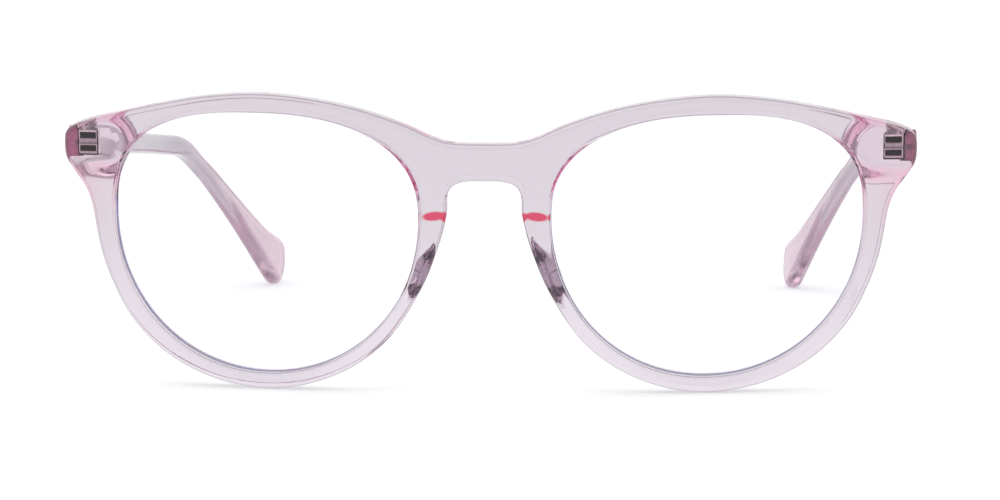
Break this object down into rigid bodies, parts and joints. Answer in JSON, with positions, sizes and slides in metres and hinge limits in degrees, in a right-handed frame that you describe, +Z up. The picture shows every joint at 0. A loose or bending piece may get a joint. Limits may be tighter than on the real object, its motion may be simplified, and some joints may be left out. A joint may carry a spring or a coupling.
{
  "type": "spectacles",
  "caption": "Clear pink acetate glasses with round-panto lenses, built-up nose pads and temples that fold on small barrel hinges.",
  "frame": {"origin": "on the surface that the glasses stand on, below the middle of the whole object", "axes": "+Z up, the lenses face -Y, the temples run back along +Y, +X is the wearer's left and X = 0 is the symmetry plane"},
  "size_m": [0.1396, 0.1488, 0.0487],
  "materials": {
    "front_acetate": "polished transparent pale pink acetate",
    "temple_acetate": "polished transparent pale pink acetate",
    "pad_acetate": "polished transparent pale mauve acetate",
    "lens": "clear polished lens with an anti-reflection coating",
    "hinge_metal": "nickel silver, plated",
    "screw_metal": "steel, slotted cheese head"
  },
  "bodies": {
    "front": {"front_frame": "front_acetate", "left_lens": "lens", "right_lens": "lens", "left_nose_pad": "pad_acetate", "right_nose_pad": "pad_acetate", "left_front_hinge_leaf": "hinge_metal", "right_front_hinge_leaf": "hinge_metal", "left_hinge_screw": "screw_metal", "right_hinge_screw": "screw_metal"},
    "left_arm": {"left_temple": "temple_acetate", "left_temple_hinge_leaf": "hinge_metal"},
    "right_arm": {"right_temple": "temple_acetate", "right_temple_hinge_leaf": "hinge_metal"}
  },
  "joints": [
    {"name": "left_temple_fold", "type": "hinge", "parent": "front", "child": "left_arm", "pos_m": [0.0649, -0.05773, 0.03979], "axis": [0, 0.1014, 0.9948], "range_deg": [0, 83]},
    {"name": "right_temple_fold", "type": "hinge", "parent": "front", "child": "right_arm", "pos_m": [-0.0649, -0.05773, 0.03979], "axis": [0, -0.1014, -0.9948], "range_deg": [0, 71.5]}
  ]
}
